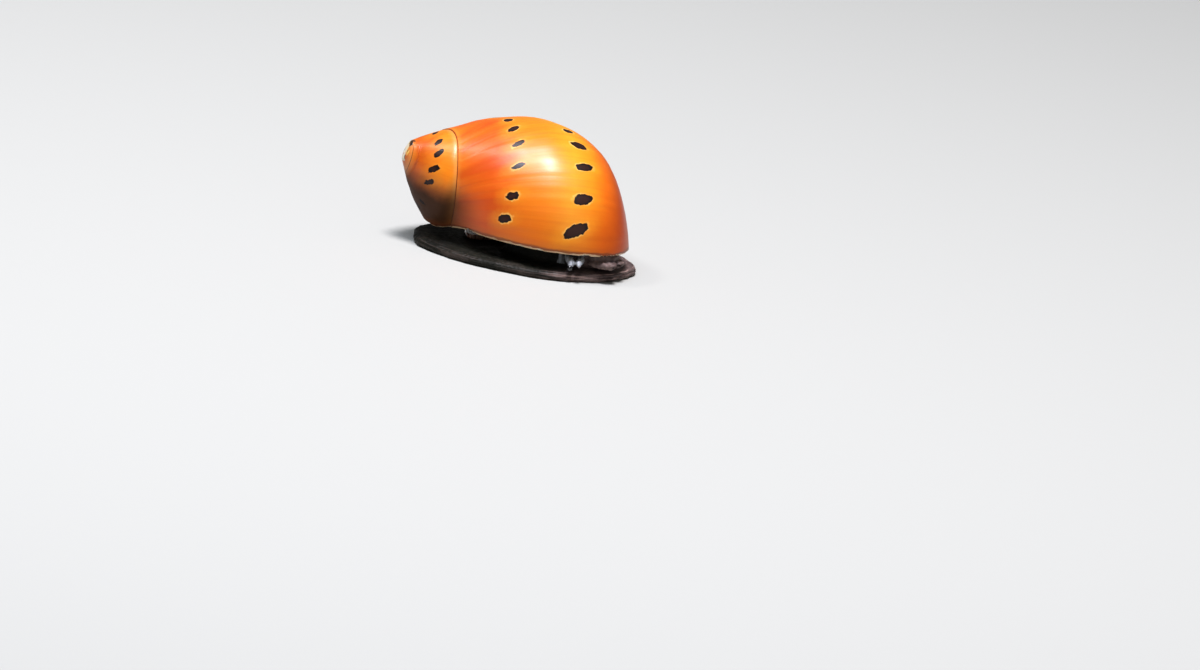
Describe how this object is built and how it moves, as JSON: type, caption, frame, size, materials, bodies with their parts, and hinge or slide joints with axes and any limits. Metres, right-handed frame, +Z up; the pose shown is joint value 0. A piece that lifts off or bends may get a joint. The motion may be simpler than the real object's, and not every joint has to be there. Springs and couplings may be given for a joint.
{
  "type": "nerite snail",
  "caption": "Still, life-size nerite snail resting on its foot: a glossy rounded spiral shell over a broad oval foot, with snout, feelers and stalked eyes under the lip.",
  "frame": {"origin": "on the floor, under the middle of the whole snail's bounding box", "axes": "+X along the shell from its spire to its base, -Y towards the side of the shell's outer lip, +Z up from the sole"},
  "size_m": [0.0236, 0.0182, 0.0129],
  "materials": {
    "shell": "glossy",
    "foot": "satin",
    "head": "satin",
    "neck": "satin",
    "mantle": "satin",
    "tentacle_right": "satin",
    "tentacle_left": "satin",
    "eye_stalk_right": "satin",
    "eye_stalk_left": "satin",
    "eye_right": "glossy",
    "eye_left": "glossy",
    "operculum": "satin"
  },
  "bodies": {
    "root": {"shell": "shell", "foot": "foot", "head": "head", "neck": "neck", "mantle": "mantle", "tentacle_right": "tentacle_right", "tentacle_left": "tentacle_left", "eye_stalk_right": "eye_stalk_right", "eye_stalk_left": "eye_stalk_left", "eye_right": "eye_right", "eye_left": "eye_left", "operculum": "operculum"}
  },
  "joints": []
}
